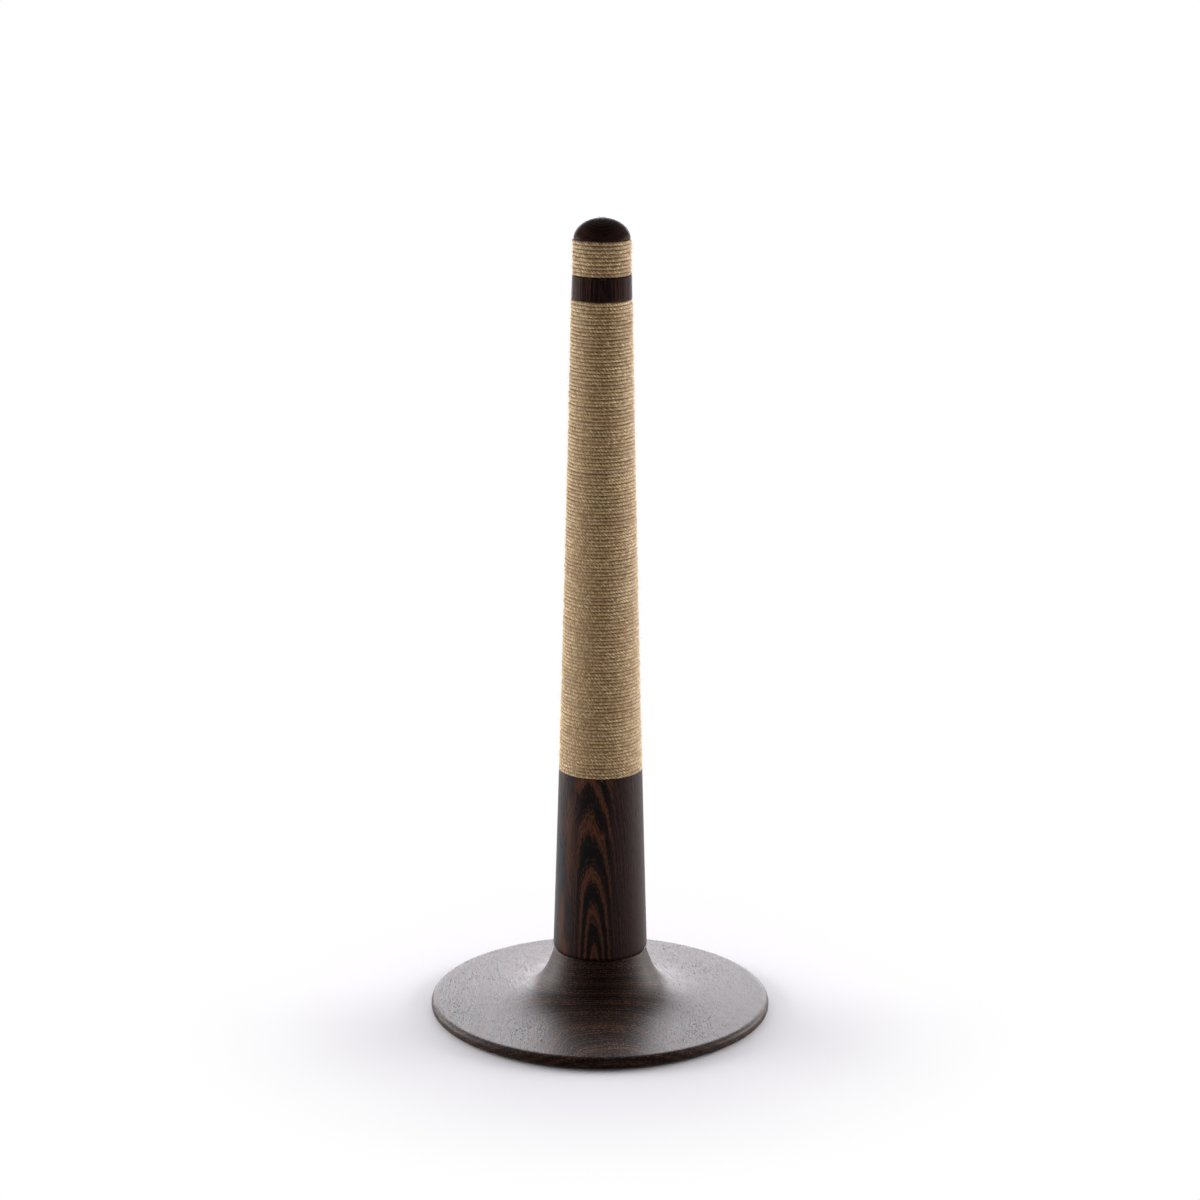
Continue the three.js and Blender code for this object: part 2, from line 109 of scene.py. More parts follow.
class Paint:
    # the nodes of a material or of the world, all made by add()
    def __init__(self, owner):
        owner.use_nodes = True
        self.owner, self.tree = owner, owner.node_tree

    def add(self, kind, settings, sockets, output=0):
        node = self.tree.nodes.new(kind)
        for name, value in settings.items():
            if name == "stops":
                while len(node.color_ramp.elements) < len(value):
                    node.color_ramp.elements.new(0.5)
                for stop, (place, colour) in zip(node.color_ramp.elements, value):
                    stop.position, stop.color = place, colour
            else:
                setattr(node, name, value)
        for name, value in sockets.items():
            if isinstance(value, Wire):
                self.tree.links.new(value.socket, node.inputs[name])
            else:
                node.inputs[name].default_value = value
        return Wire(self, node.outputs[output])

    def feed(self, socket, wire, node="Principled BSDF"):
        self.tree.links.new(wire.socket, self.tree.nodes[node].inputs[socket])

    def objectPlace(self):
        return self.add("ShaderNodeTexCoord", {}, {}, "Object")

    def stretched(self, vector, by):
        return self.add("ShaderNodeVectorMath", {"operation": "MULTIPLY"}, {0: vector, 1: by})

    def parts(self, vector):
        split = self.add("ShaderNodeSeparateXYZ", {}, {"Vector": vector}).socket.node
        return [Wire(self, socket) for socket in split.outputs]

    def joinedUp(self, x, y, z=0.0):
        return self.add("ShaderNodeCombineXYZ", {}, {"X": x, "Y": y, "Z": z})

    def noise(self, vector, detail=2.0, roughness=0.5):
        settings = {"noise_dimensions": "3D"}
        sockets = {"Vector": vector, "Scale": 1.0, "Detail": detail, "Roughness": roughness}
        return self.add("ShaderNodeTexNoise", settings, sockets)

    def lineNoise(self, value, detail=2.0, roughness=0.5):
        settings = {"noise_dimensions": "1D"}
        sockets = {"W": value, "Scale": 1.0, "Detail": detail, "Roughness": roughness}
        return self.add("ShaderNodeTexNoise", settings, sockets)

    def rise(self, value, low, high):
        # 0 below low, 1 above high, with a soft start and end
        settings = {"interpolation_type": "SMOOTHSTEP"}
        sockets = {"Value": value, "From Min": low, "From Max": high}
        return self.add("ShaderNodeMapRange", settings, sockets)

    def blend(self, share, first, second):
        # the colour goes from first to second as share goes from 0 to 1
        return self.add("ShaderNodeMix", {"data_type": "RGBA"}, {0: share, 6: first, 7: second}, 2)

    def ramp(self, value, stops):
        return self.add("ShaderNodeValToRGB", {"stops": stops}, {"Fac": value})

    def bump(self, height, strength, distance):
        sockets = {"Height": height, "Strength": strength, "Distance": distance}
        self.feed("Normal", self.add("ShaderNodeBump", {}, sockets))

    def rays(self, *kinds):
        # 1 for rays of any of these kinds
        found = [self.add("ShaderNodeLightPath", {}, {}, f"Is {kind} Ray") for kind in kinds]
        total = found[0]
        for ray in found[1:]:
            total = total.math("MAXIMUM", total, ray)
        return total


def newFinish(name, roughness=0.5, specular=0.5, metallic=0.0, headOn=1.0, fuzz=0.0):
    # headOn below 1 weakens the gloss where it is looked at square on, and keeps it at a slant
    paint = Paint(bpy.data.materials.new(name))
    surface = paint.tree.nodes["Principled BSDF"].inputs
    surface["Roughness"].default_value = roughness
    surface["Specular IOR Level"].default_value = specular
    surface["Specular Tint"].default_value = (headOn, headOn, headOn, 1)
    surface["Metallic"].default_value = metallic
    surface["Sheen Weight"].default_value = fuzz
    return paint


def meshPiece(name, points, faceSets, uvs=None, lean=None):
    # points is (n, 3); each face set is an array of corner numbers with one row for each face
    mesh = bpy.data.meshes.new(name)
    corners = np.concatenate([faces.ravel() for faces in faceSets]).astype(np.int32)
    sizes = np.concatenate([np.full(len(faces), faces.shape[1]) for faces in faceSets])
    starts = np.concatenate([[0], np.cumsum(sizes)[:-1]]).astype(np.int32)
    mesh.vertices.add(len(points))
    mesh.vertices.foreach_set("co", points.astype(np.float32).ravel())
    mesh.loops.add(len(corners))
    mesh.loops.foreach_set("vertex_index", corners)
    mesh.polygons.add(len(sizes))
    mesh.polygons.foreach_set("loop_start", starts)
    mesh.update(calc_edges=True)
    if uvs is not None:
        layer = mesh.uv_layers.new(name="strandMap")
        layer.uv.foreach_set("vector", uvs.astype(np.float32).ravel())
    if lean is not None:
        attribute = mesh.attributes.new("lean", "FLOAT", "POINT")
        attribute.data.foreach_set("value", lean.astype(np.float32).ravel())
    mesh.validate()
    mesh.polygons.foreach_set("use_smooth", np.ones(len(sizes), bool))
    piece = bpy.data.objects.new(name, mesh)
    bpy.context.scene.collection.objects.link(piece)
    return piece


def finished(piece, paint, slot, *replaced):
    piece.data.materials.append(paint.owner)
    if replaced:
        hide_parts(*replaced)
    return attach(piece, "root")


def turnedPiece(name, outline, around=192):
    # x = r cos a, y = r sin a, z = h for each pair (r, h) of the outline. The wood lies on the left of
    # the outline as it goes along. It starts and ends on the axis, or closes on itself.
    outline = np.asarray(outline, float)
    poles = [outline[end] for end in (0, -1) if outline[end][0] == 0]
    rings = outline[outline[:, 0] > 0]
    angle = np.linspace(0, 2 * np.pi, around, endpoint=False)
    radius, height = rings[:, :1], rings[:, 1:]
    points = np.stack([radius * np.cos(angle), radius * np.sin(angle),
                       np.broadcast_to(height, (len(rings), around))], -1).reshape(-1, 3)
    here = np.arange(around)
    there = (here + 1) % around
    last = len(rings) - 1 if poles else len(rings)
    low = np.arange(last)[:, None] * around
    high = (np.arange(last)[:, None] + 1) % len(rings) * around
    quads = np.stack([low + here, low + there, high + there, high + here], -1).reshape(-1, 4)
    faceSets = [quads]
    if poles:
        pole = len(points)
        points = np.vstack([points, [(0, 0, poles[0][1]), (0, 0, poles[1][1])]])
        top = (len(rings) - 1) * around
        faceSets.append(np.stack([np.full(around, pole), there, here], -1))
        faceSets.append(np.stack([top + here, top + there, np.full(around, pole + 1)], -1))
    piece = meshPiece(name, points, faceSets)
    piece.data.set_sharp_from_angle(angle=math.radians(40))
    return piece


def roundEdge(radius, height, size, start, end, steps=6):
    # centre plus size times (cos a, sin a), with a from start to end in degrees
    angle = np.radians(np.linspace(start, end, steps + 1))
    return list(zip(radius + size * np.cos(angle), height + size * np.sin(angle)))


def levelOf(nodeName, end):
    # the height of a node's underside, end 0, or of its top, end 1
    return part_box(nodeName)[end].z


bandGap = 0.0003  # between the main band's body and the wood at its two ends
woodGap = 0.0001  # between two turned pieces

# the line that the post, the rope and the ring share
column = {
    "foot": levelOf("trumpet_base", 1),
    "bandBottom": levelOf("main_winding", 0) - bandGap,
    "bandTop": levelOf("main_winding", 1) + bandGap,
    "ringTop": levelOf("ring_collar", 1),
    "capBottom": levelOf("dome_cap", 0) - woodGap,
    "capTop": levelOf("cap_plug", 1),
    "footRadius": 0.0526,
    "headRadius": 0.0326,
    "hollow": 0.00104,
}


def columnRadius(height):
    # a straight taper from foot to head, drawn in at its middle by a parabola
    t = (column["ringTop"] - height) / (column["ringTop"] - column["foot"])
    spread = column["footRadius"] - column["headRadius"]
    return column["headRadius"] + spread * t - 4 * column["hollow"] * t * (1 - t)


# The wood: growth rings round a pith, fine lines in them, fibres and pores along the grain. In each
# cut the lengths are metres, and a fineness counts the features in a metre.
warmWenge = {
    "black": shade(14, 10, 11),
    "dark": shade(28, 19, 17),
    "middle": shade(51, 32, 24),
    "brown": shade(88, 53, 35),
    "plum": shade(56, 38, 36),
    "blue": shade(25, 27, 34),
    "pore": shade(8, 6, 6),
}
darkWenge = {
    "black": shade(9, 7, 8),
    "dark": shade(16, 11, 10),
    "middle": shade(33, 22, 18),
    "brown": shade(104, 70, 52),
    "plum": shade(38, 26, 25),
    "pore": shade(4, 3, 3),
}
postCut = {
    "wood": warmWenge,
    "pith": (0.0055, 0.0590, 0.0),
    "turn": (9.0, 0.3, 0.0),  # the rings' centre line slants backwards as it rises, so arches show
    "bends": ((0.012, 11, 2.4), (0.0034, 75, 10), (0.0014, 320, 45)),  # reach, fineness across and along
    "ring": 0.0058,
    "line": 0.0012,
    "shares": (0.42, 0.55, 0.95),  # rings, lines and fibres in the figure
    "figure": 1.0,
    "quiet": (0.012, 0.026),  # the figure fades towards the post's sides
    "plainBack": 0.8,  # share of the figure that is gone behind
    "flames": {
        "fineness": (60, 60, 17),
        "warm": (0.52, 0.64, 0.5),  # noise values between which they come up, and their strength
        "dark": (0.50, 0.60, 0.8),
        "edge": (0.016, 0.032),  # they fade in over these distances to the left
    },
    "fibres": (1500, 26),  # their fineness across and along the grain
    "pores": (1250, 55, 0.76),  # the same, and how rare they are
    "roughness": 0.40,
    "gloss": 0.15,
    "headOn": 0.3,
    "bump": 0.25,
}
baseCut = {
    "wood": darkWenge,
    "pith": (0.020, -0.250, 0.0),  # far below the disc, so its rings lie nearly flat there
    "turn": (97.0, 12.0, 0.0),
    "bends": ((0.008, 11, 2.4), (0.0012, 90, 9), (0.0016, 430, 15)),
    "ring": 0.0095,
    "line": 0.0010,
    "shares": (0.12, 1.05, 1.30),
    "figure": 0.8,
    "quiet": (0.30, 0.40),
    "plainBack": 0.0,
    "fibres": (800, 30),
    "pores": (1150, 36, 0.785),
    "roughness": 0.48,
    "gloss": 0.45,
    "headOn": 0.03,
    "bump": 0.7,
}
ringCut = {
    "wood": warmWenge,
    "pith": (0.02, -0.120, 0.0),
    "turn": (1.0, -1.0, 0.0),
    "bends": ((0.008, 11, 2.4), (0.0020, 75, 9), (0.0006, 260, 40)),
    "ring": 0.0060,
    "line": 0.0011,
    "shares": (0.20, 0.80, 0.80),
    "figure": 0.4,
    "quiet": (0.30, 0.40),
    "plainBack": 0.0,
    "fibres": (1500, 26),
    "pores": (1250, 55, 0.76),
    "roughness": 0.32,
    "gloss": 0.015,
    "headOn": 0.3,
    "bump": 0.8,
}
capCut = {
    "wood": warmWenge,
    "pith": (-0.80, -0.010, 0.0),
    "turn": (0.0, 90.0, 0.0),  # its grain lies across the post
    "bends": ((0.008, 11, 2.4), (0.0020, 75, 9), (0.0006, 260, 40)),
    "ring": 0.0080,
    "line": 0.0011,
    "shares": (0.15, 0.50, 0.60),
    "figure": 0.25,
    "quiet": (0.30, 0.40),
    "plainBack": 0.0,
    "fibres": (1500, 26),
    "pores": (1250, 90, 0.80),
    "roughness": 0.25,
    "gloss": 0.012,
    "headOn": 0.3,
    "bump": 0.15,
}
# what all four cuts share
grain = {
    "noiseStep": 1.9,  # noise units from one fine line to the next
    "cluster": (22, 22, 9),  # fineness of the patches that hold more pores
    "clusterShare": 0.24,
    "poreEdge": 0.08,
    "edgeWander": 0.012,  # how far the edge of the figure strays sideways
    "back": (-0.01, 0.02),  # the depths over which the figure fades towards the back
    "depth": 0.0006,  # of the bump
}


def wengeFinish(name, cut):
    wood = cut["wood"]
    paint = newFinish(name, cut["roughness"], cut["gloss"], 0.0, cut["headOn"])
    turn = tuple(math.radians(part) for part in cut["turn"])
    spot = paint.objectPlace()
    mapping = {"Vector": spot, "Location": cut["pith"], "Rotation": turn}
    place = paint.add("ShaderNodeMapping", {}, mapping)  # the grain now runs along Z
    x, y = paint.parts(place)[:2]

    # distance from the pith, pushed about by three sizes of noise
    distance = (x * x + y * y) ** 0.5
    for reach, fineness, length in cut["bends"]:
        distance = distance + paint.noise(paint.stretched(place, (fineness, fineness, length)), 1.0) * reach

    phase = distance * (2 * math.pi / cut["ring"])
    ringWave = phase.math("SINE", phase) * 0.5 + 0.5
    line = paint.lineNoise(distance * (grain["noiseStep"] / cut["line"]), 1.0)
    fineness, length = cut["fibres"]
    fibre = paint.noise(paint.stretched(place, (fineness, fineness, length)), 3.0, 0.6)
    fineness, length, rarity = cut["pores"]
    cluster = paint.noise(paint.stretched(place, grain["cluster"]), 1.0)
    dash = paint.noise(paint.stretched(place, (fineness, fineness, length)), 1.0)
    pore = paint.rise(dash + cluster * grain["clusterShare"], rarity, rarity + grain["poreEdge"])

    ringShare, lineShare, fibreShare = cut["shares"]
    middle = 0.5 - (ringShare + lineShare + fibreShare) / 2
    figure = ringWave * ringShare + line * lineShare + fibre * fibreShare + middle
    stops = [(0.36, wood["black"]), (0.46, wood["dark"]), (0.57, wood["middle"]), (0.74, wood["brown"])]
    bold = paint.ramp(figure, stops)
    quiet = paint.blend(paint.rise(line * 0.6 + fibre * 0.4, 0.40, 0.60), wood["dark"], wood["plum"])
    wander = grain["edgeWander"]
    aside = x.math("ABSOLUTE", x) + cluster * wander - wander / 2
    inFront = 1 - paint.rise(paint.parts(spot)[1], *grain["back"]) * cut["plainBack"]
    if "flames" in cut:
        quiet = withFlames(paint, cut, place, quiet, inFront)
    share = (1 - paint.rise(aside, *cut["quiet"])) * inFront * cut["figure"]
    colour = paint.blend(share, quiet, bold)
    paint.feed("Base Color", paint.blend(pore * 0.7, colour, wood["pore"]))
    paint.feed("Roughness", pore * 0.3 + fibre * 0.30 + (cut["roughness"] - 0.15))
    paint.bump(fibre * 0.3 - pore, cut["bump"], grain["depth"])
    return paint


def withFlames(paint, cut, place, quiet, inFront):
    # warm and blue-black tongues along the grain, on the left of the piece
    flames, wood = cut["flames"], cut["wood"]
    flame = paint.noise(paint.stretched(place, flames["fineness"]), 2.0)
    left = paint.rise(paint.parts(place)[0] * -1.0, *flames["edge"]) * inFront
    low, high, strength = flames["warm"]
    quiet = paint.blend(paint.rise(flame, low, high) * left * strength, quiet, wood["brown"])
    low, high, strength = flames["dark"]
    return paint.blend(paint.rise(1 - flame, low, high) * left * strength, quiet, wood["blue"])


postPaint = wengeFinish("wengePost", postCut)
basePaint = wengeFinish("wengeBase", baseCut)
ringPaint = wengeFinish("wengeRing", ringCut)
capPaint = wengeFinish("wengeCap", capCut)
print("wood finishes made")


base = {
    "radius": 0.190,
    "underside": 0.002,
    "rimTop": 0.014,
    "topRound": 0.006,
    "bottomRound": 0.0035,
    "crown": 0.0026,
    "collarTop": column["foot"],
    "collarRadius": 0.0516,
    "collarRound": 0.0015,
    "flareReach": 0.0155,
    "reliefRadius": 0.140,
    "reliefDepth": 0.0015,
    "recessRadius": 0.019,
    "boltSeat": 0.026,
    "boltHole": 0.00615,
    "socketRadius": 0.02015,
    "socketFloor": 0.046,
}


def flareHeight(radius):
    # a slight crown, and a flare that falls off as e to the minus distance from the collar
    edge = base["radius"] - base["topRound"]
    crown = base["crown"] * (edge - radius) / (edge - base["collarRadius"])
    flare = base["collarTop"] - base["collarRound"] - base["rimTop"] - base["crown"]
    return base["rimTop"] + crown + flare * np.exp(-(radius - base["collarRadius"]) / base["flareReach"])


def turnedBase():
    # from the bolt hole out under the base, round the rim, up the flare and down into the socket
    edge = base["radius"] - base["topRound"]
    relief = base["underside"] + base["reliefDepth"]
    sweep = base["collarRadius"] + (edge - base["collarRadius"]) * np.linspace(1, 0, 71)[1:-1] ** 2
    outline = [
        (base["boltHole"], base["boltSeat"]),
        (base["recessRadius"], base["boltSeat"]),
        (base["recessRadius"], relief),
        (base["reliefRadius"] - base["reliefDepth"], relief),
        (base["reliefRadius"], base["underside"]),
        *roundEdge(base["radius"] - base["bottomRound"], base["underside"] + base["bottomRound"],
                   base["bottomRound"], -90, 0, 8),
        *roundEdge(edge, base["rimTop"] - base["topRound"], base["topRound"], 0, 90, 12),
        *zip(sweep, flareHeight(sweep)),
        *roundEdge(base["collarRadius"] - base["collarRound"], base["collarTop"] - base["collarRound"],
                   base["collarRound"], 0, 90, 6),
        (base["socketRadius"], base["collarTop"]),
        (base["socketRadius"], base["socketFloor"]),
        (base["boltHole"], base["socketFloor"]),
    ]
    return turnedPiece("turnedBase", outline, 288)


finished(turnedBase(), basePaint, "wenge", "trumpet_base")


post = {
    "footRound": 0.0046,
    "headBevel": 0.0006,
    "tenonRadius": 0.020,
    "tenonEnd": 0.047,
    "headTenonRadius": 0.022,
    "headTenonEnd": 0.325,
    "boreRadius": 0.00615,
    "boreEnd": 0.0969,
    "insertRadius": 0.00915,
    "insertEnd": 0.0771,
}


def turnedPost():
    # down the bore, up outside the foot tenon, round the foot, up the taper and over the head tenon
    bottom = column["foot"] + woodGap
    rounded = bottom + post["footRound"]
    radius = columnRadius(rounded)
    heights = np.linspace(rounded, column["bandBottom"] - post["headBevel"], 40)[1:]
    top = columnRadius(column["bandBottom"])
    outline = [
        (0, post["boreEnd"]),
        (post["boreRadius"], post["boreEnd"]),
        (post["boreRadius"], post["insertEnd"]),
        (post["insertRadius"], post["insertEnd"]),
        (post["insertRadius"], post["tenonEnd"]),
        (post["tenonRadius"], post["tenonEnd"]),
        (post["tenonRadius"], bottom),
        *roundEdge(radius - post["footRound"], rounded, post["footRound"], -90, 0, 10),
        *zip(columnRadius(heights), heights),
        (top - post["headBevel"], column["bandBottom"]),
        (post["headTenonRadius"], column["bandBottom"]),
        (post["headTenonRadius"], post["headTenonEnd"]),
        (0, post["headTenonEnd"]),
    ]
    return turnedPiece("turnedPost", outline)


finished(turnedPost(), postPaint, "wenge", "lower_post")


ring = {"round": 0.0012, "bore": 0.02785}
cap = {
    "radius": 0.0312,
    "height": column["capTop"] - column["capBottom"],
    "bevel": 0.0006,
    "firstAngle": 4.0,  # degrees up the ellipse, where the bevel ends
    "ceiling": column["capBottom"] + 0.0051,
    "bore": 0.02785,
    "plugRadius": 0.005,
    "plugBottom": column["capTop"] - 0.0059,
    "plugRise": 0.0002,
    "plugGap": 0.00006,
    "screwSeat": column["capTop"] - 0.0090,
    "screwHole": 0.0024,
}


def turnedRing():
    # a short stretch of the column's taper with both its edges rounded
    bottom = column["bandTop"] + woodGap
    top = column["ringTop"]
    size = ring["round"]
    heights = np.linspace(bottom + size, top - size, 9)[1:-1]
    outline = [
        (ring["bore"], bottom),
        *roundEdge(columnRadius(bottom) - size, bottom + size, size, -90, 0),
        *zip(columnRadius(heights), heights),
        *roundEdge(columnRadius(top) - size, top - size, size, 0, 90),
        (ring["bore"], top),
    ]
    return turnedPiece("turnedRing", outline)


def turnedCap():
    # a quarter of an ellipse, from the bevel at its foot up to the plug
    plugBore = cap["plugRadius"] + cap["plugGap"]
    crown = math.degrees(math.acos(plugBore / cap["radius"]))
    angle = np.radians(np.linspace(cap["firstAngle"], crown, 48))
    bottom = column["capBottom"]
    outline = [
        (cap["screwHole"], cap["ceiling"]),
        (cap["bore"], cap["ceiling"]),
        (cap["bore"], bottom + woodGap),
        (cap["radius"] - cap["bevel"], bottom + woodGap),
        *zip(cap["radius"] * np.cos(angle), bottom + cap["height"] * np.sin(angle)),
        (plugBore, cap["screwSeat"]),
        (cap["screwHole"], cap["screwSeat"]),
    ]
    return turnedPiece("turnedCap", outline)


def turnedPlug():
    # a short dowel with a faintly crowned top that is flush with the dome round it
    rim = column["capTop"] - 2 * cap["plugRise"]
    reach = np.linspace(1, 0, 7)
    crown = rim + 2 * cap["plugRise"] * (1 - reach ** 2)
    outline = [(0, cap["plugBottom"]), (cap["plugRadius"], cap["plugBottom"])]
    outline += list(zip(cap["plugRadius"] * reach[:-1], crown[:-1])) + [(0, column["capTop"])]
    return turnedPiece("turnedPlug", outline, 64)


finished(turnedRing(), ringPaint, "dark_wenge", "ring_collar")
finished(turnedCap(), capPaint, "dark_wenge", "dome_cap")
finished(turnedPlug(), ringPaint, "dark_wenge", "cap_plug")
print("turned pieces made")


sisalRope = {
    "radius": 0.0022,
    "lay": 0.0105,  # length in which a strand goes once round the rope
    "layWander": (0.03, 0.22),  # this and the next three: metres between knots of the noise, and its size
    "sideWander": (0.013, 0.00020),
    "liftWander": (0.017, 0.00014),
    "swell": (0.009, 0.06),
    "step": 0.0012,
    "valley": 0.60,  # share of the radius left between two strands
    "shoulder": 0.86,
    "climb": 0.34,  # share of a turn, behind the post, in which a row climbs to the next
    "turnPoints": 900,
    "bend": 0.0040,
    "tail": 0.0060,
    "play": 0.0002,  # height that a band leaves free
    "mainRows": 131,
    "mainPieces": 4,
    "mainDepth": 0.00205,  # the rope's middle lies this far inside the column's line
    "upperRows": 9,
    "upperSeat": 0.02975,  # from the axis to the rope's middle
    "upperReach": 0.0315,
}
sisalColours = {
    # the darkest colour is painted shade for the strand valleys and the row seams
    "gap": shade(112, 80, 44),
    "low": shade(168, 130, 76),
    "high": shade(216, 180, 122),
    "pale": shade(246, 226, 174),
    "stain": shade(168, 124, 70),
}


def ropePath(rows, firstHeight, pitch, seat):
    # The angle runs on from turn to turn. Height is the row's number times the pitch, and rises to the
    # next row by a smoothstep in the stretch behind the post. Radius is the seat's at that height.
    level = np.pi * (1 - sisalRope["climb"])
    turn = np.linspace(-level, 2 * np.pi * (rows - 1) + level, rows * sisalRope["turnPoints"])
    row = np.floor(turn / (2 * np.pi) + 0.5)
    part = turn / (2 * np.pi) - row
    wide = sisalRope["climb"]
    up = np.clip((part - 0.5) / wide + 0.5, 0, 1)
    down = np.clip((part + 0.5) / wide + 0.5, 0, 1)
    smooth = lambda t: t * t * (3 - 2 * t)
    height = firstHeight + pitch * (row + smooth(up) + smooth(down) - 1)
    radius = seat(height)
    angle = turn - np.pi / 2
    coil = np.stack([radius * np.cos(angle), radius * np.sin(angle), height], -1)
    bend = np.linspace(0, np.pi / 2, 7)[1:, None]

    def tail(end, along):
        # a quarter circle from the coil's direction to straight in, then a straight end
        inwards = np.array([-end[0], -end[1], 0]) / np.hypot(end[0], end[1])
        size = sisalRope["bend"]
        curve = end + size * np.sin(bend) * along + size * (1 - np.cos(bend)) * inwards
        return np.vstack([curve, curve[-1] + sisalRope["tail"] * inwards])

    first = coil[0] - coil[1]
    last = coil[-1] - coil[-2]
    path = np.vstack([tail(coil[0], first / np.linalg.norm(first))[::-1], coil,
                      tail(coil[-1], last / np.linalg.norm(last))])
    length = np.concatenate([[0], np.cumsum(np.linalg.norm(np.diff(path, axis=0), axis=1))])
    count = int(length[-1] / sisalRope["step"])
    even = np.linspace(0, length[-1], count)
    return even, np.stack([np.interp(even, length, path[:, axis]) for axis in range(3)], -1)


def slowNoise(chance, length, wander):
    # random values a set distance apart, with cosine curves between them
    spacing, size = wander
    knots = chance.standard_normal(int(length[-1] / spacing) + 3)
    place = length / spacing
    before = place.astype(int)
    share = 0.5 - 0.5 * np.cos(np.pi * (place - before))
    return size * (knots[before] * (1 - share) + knots[before + 1] * share)


def strandSections(length, path, chance):
    # Sections across the path. Each has three strands of four points, valley, shoulder, crest and
    # shoulder, and turns with the lay. Side and lift are the section's own axes.
    ahead = np.gradient(path, axis=0)
    ahead /= np.linalg.norm(ahead, axis=1)[:, None]
    lift = np.array([0, 0, 1.0]) - ahead * ahead[:, 2:]
    lift /= np.linalg.norm(lift, axis=1)[:, None]
    side = np.cross(ahead, lift)
    path = path + side * slowNoise(chance, length, sisalRope["sideWander"])[:, None]
    path = path + lift * slowNoise(chance, length, sisalRope["liftWander"])[:, None]
    shape = np.tile([sisalRope["valley"], sisalRope["shoulder"], 1.0, sisalRope["shoulder"]], 3)
    spread = np.radians(np.tile([0, 33, 60, 87], 3) + np.repeat([0, 120, 240], 4))
    twist = -2 * np.pi * (length / sisalRope["lay"] + slowNoise(chance, length, sisalRope["layWander"]))
    angle = spread + twist[:, None]
    swell = np.stack([slowNoise(chance, length, sisalRope["swell"]) for _ in range(3)], -1)
    radius = sisalRope["radius"] * shape * (1 + np.repeat(swell, 4, axis=1))
    across = side[:, None] * np.cos(angle)[..., None] + lift[:, None] * np.sin(angle)[..., None]
    return path[:, None] + across * radius[..., None], np.sin(angle)


def ropePiece(name, length, sections, lean):
    # Neighbouring sections joined by quads, with both ends closed. Lean is a point's height over the
    # rope's middle, from -1 to 1.
    count, around = sections.shape[:2]
    here = np.arange(around)
    there = (here + 1) % around
    low = np.arange(count - 1)[:, None] * around
    quads = np.stack([low + here, low + around + here, low + around + there, low + there], -1)
    ends = np.stack([here, (count - 1) * around + here[::-1]])
    strand = np.stack([here, here, here + 1, here + 1], -1) / 4  # four points to a strand
    strand = np.broadcast_to(strand, (count - 1, around, 4))
    along = np.stack([length[:-1], length[1:], length[1:], length[:-1]], -1) * 100  # centimetres
    along = np.broadcast_to(along[:, None], (count - 1, around, 4))
    uvs = np.stack([along, strand], -1).reshape(-1, 2)
    uvs = np.vstack([uvs, np.zeros((2 * around, 2))])
    return meshPiece(name, sections.reshape(-1, 3), [quads.reshape(-1, 4), ends], uvs, lean)


def sisalFinish():
    # U runs along the rope in centimetres, V counts the strands round it
    paint = newFinish("sisal", roughness=0.7, headOn=0.2, fuzz=0.8)
    u, v = paint.parts(paint.add("ShaderNodeUVMap", {"uv_map": "strandMap"}, {}))[:2]
    across = v.math("FRACT", v)
    crest = across * (1 - across) * 4
    # the fibres of a strand lie almost along the rope
    perCentimetre = 3 * 0.01 / sisalRope["lay"]  # strands that pass a point of the rope's side
    fibreAt = paint.joinedUp(u * 2.2, (v + u * perCentimetre) * 11)
    fibre = paint.noise(fibreAt, 3.0, 0.65)
    # each stretch of a strand that comes to the top has its own tone
    tuft = paint.noise(paint.joinedUp(u * 4.2, v.math("FLOOR", v) * 7.3), 1.0)
    patch = paint.noise(paint.stretched(paint.objectPlace(), (22, 22, 70)), 3.0, 0.6)
    tone = paint.rise(tuft * 0.65 + fibre * 0.35, 0.38, 0.58)
    body = paint.blend(tone, sisalColours["low"], sisalColours["high"])
    # pale flecks of random tone, held to the strand crests: the crests come out lighter, a painted
    # highlight
    pale = paint.rise(tuft * 0.7 + fibre * 0.3, 0.47, 0.63)
    body = paint.blend(pale * crest, body, sisalColours["pale"])
    body = paint.blend(paint.rise(patch, 0.48, 0.70) * 0.4, body, sisalColours["stain"])
    # painted shade: the valleys between strands and the seams between rows are darkened in the colour,
    # where shade falls
    lean = paint.add("ShaderNodeAttribute", {"attribute_name": "lean"}, {}, "Fac")
    paintedSeamShade = paint.rise(lean.math("ABSOLUTE", lean), 0.62, 1.0)
    paintedShade = paintedSeamShade.math("MAXIMUM", paintedSeamShade * 0.5, 1 - paint.rise(crest, 0.06, 0.66))
    paint.feed("Base Color", paint.blend(paintedShade, body, sisalColours["gap"]))
    paint.bump(fibre, 0.5, 0.0004)
    return paint


sisalPaint = sisalFinish()


def windMainBand(chance):
    pitch = (column["bandTop"] - column["bandBottom"] - sisalRope["play"]) / sisalRope["mainRows"]
    seat = lambda height: columnRadius(height) - sisalRope["mainDepth"]
    length, path = ropePath(sisalRope["mainRows"], column["bandBottom"] + pitch / 2, pitch, seat)
    sections, lean = strandSections(length, path, chance)
    cuts = np.linspace(0, len(length) - 1, sisalRope["mainPieces"] + 1).astype(int)
    for number in range(sisalRope["mainPieces"]):
        part = slice(cuts[number], cuts[number + 1] + 1)
        piece = ropePiece(f"mainRope{number + 1}", length[part], sections[part], lean[part])
        finished(piece, sisalPaint, "sisal", "main_winding")
    return sections


def windUpperBand(chance):
    bottom, top = column["ringTop"], column["capBottom"]
    pitch = (top - bottom - sisalRope["play"]) / sisalRope["upperRows"]
    seat = lambda height: np.full_like(height, sisalRope["upperSeat"])
    length, path = ropePath(sisalRope["upperRows"], bottom + pitch / 2, pitch, seat)
    sections, lean = strandSections(length, path, chance)
    finished(ropePiece("upperRope", length, sections, lean), sisalPaint, "sisal", "upper_winding")
    return sections


